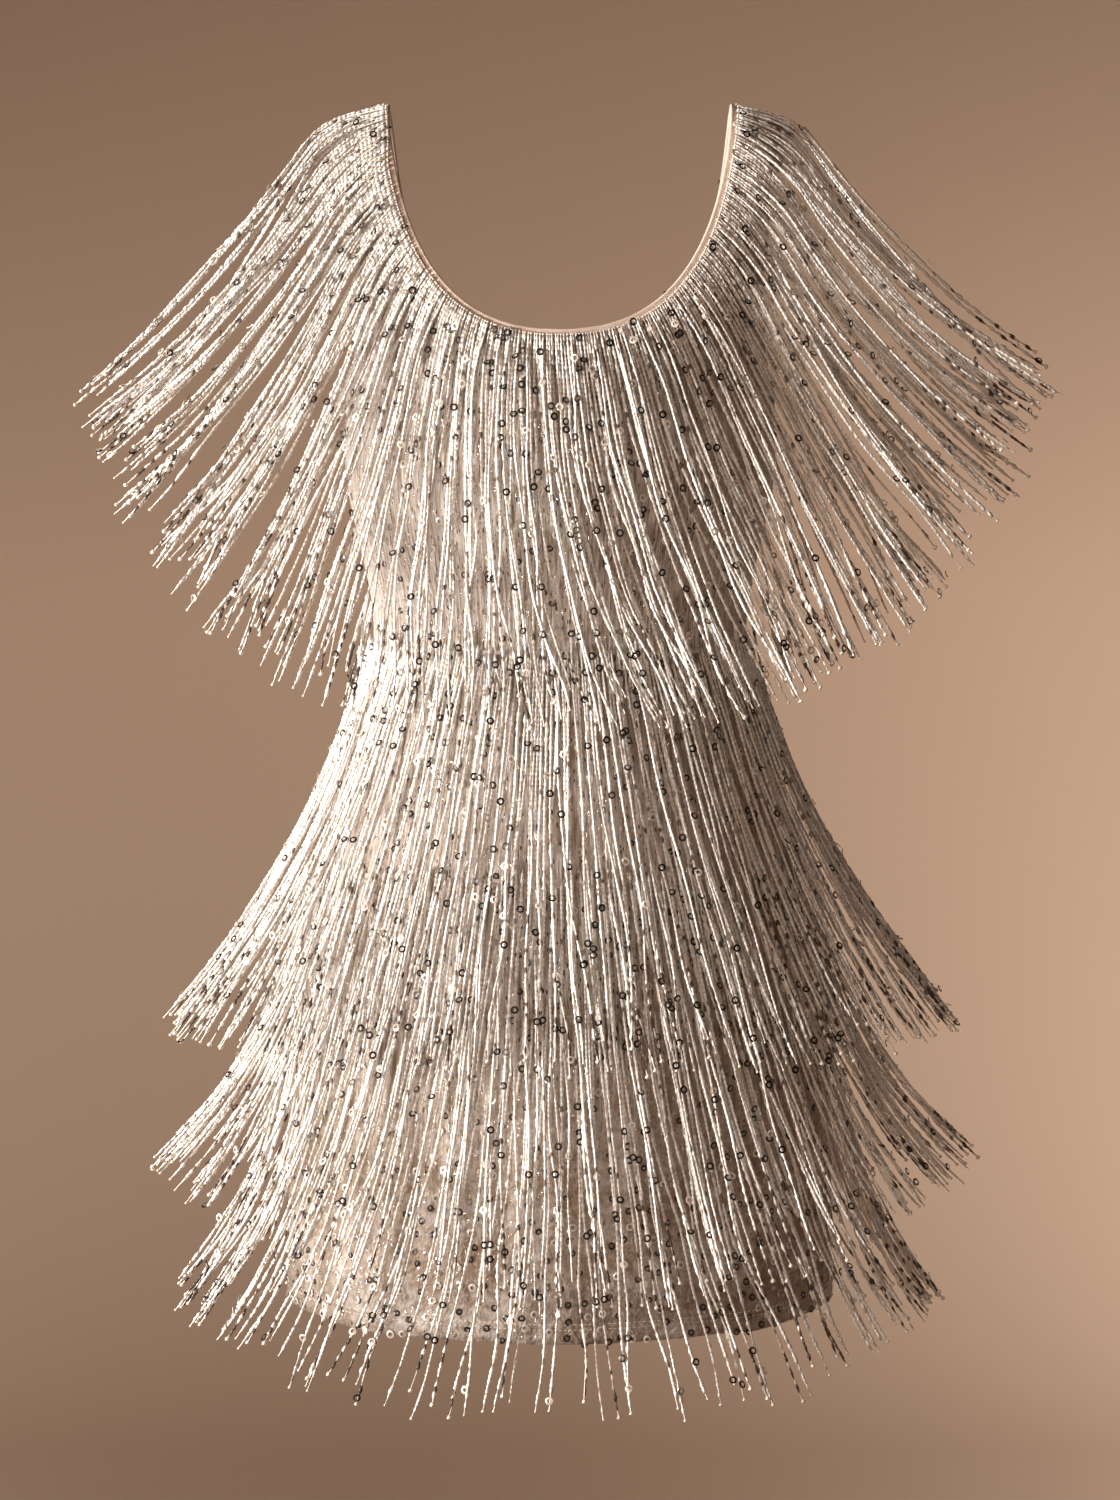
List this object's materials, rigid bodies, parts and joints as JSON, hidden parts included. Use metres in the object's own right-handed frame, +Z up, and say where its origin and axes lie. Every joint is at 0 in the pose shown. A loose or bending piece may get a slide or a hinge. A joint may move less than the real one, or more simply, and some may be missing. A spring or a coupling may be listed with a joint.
{
  "type": "sequin fringe mini dress, worn form",
  "caption": "Sleeveless scoop-neck mini dress in sequinned mesh, held open in its worn form, with tiers of long sequin fringe round the neck, waist, hips and hem",
  "frame": {"origin": "midway between the tops of the two shoulders, where the wearer holds the dress up", "axes": "+X to the viewer's right of the dress seen from the front, +Y from its front to its back, +Z up"},
  "size_m": [0.6755, 0.3428, 0.8894],
  "materials": {
    "sequinned_mesh": "champagne stretch mesh with scattered ring sequins",
    "binding": "matt nude tape folded over the neck edge",
    "sequin_strand": "ivory and silver cup sequins strung close, glossy"
  },
  "bodies": {
    "root": {"front_panel": "sequinned_mesh", "back_panel": "sequinned_mesh", "neck_binding": "binding", "neck_fringe_front": "sequin_strand", "neck_fringe_back": "sequin_strand", "waist_fringe_front": "sequin_strand", "waist_fringe_back": "sequin_strand", "hip_fringe_front": "sequin_strand", "hip_fringe_back": "sequin_strand", "low_hip_fringe_front": "sequin_strand", "low_hip_fringe_back": "sequin_strand"}
  },
  "joints": []
}
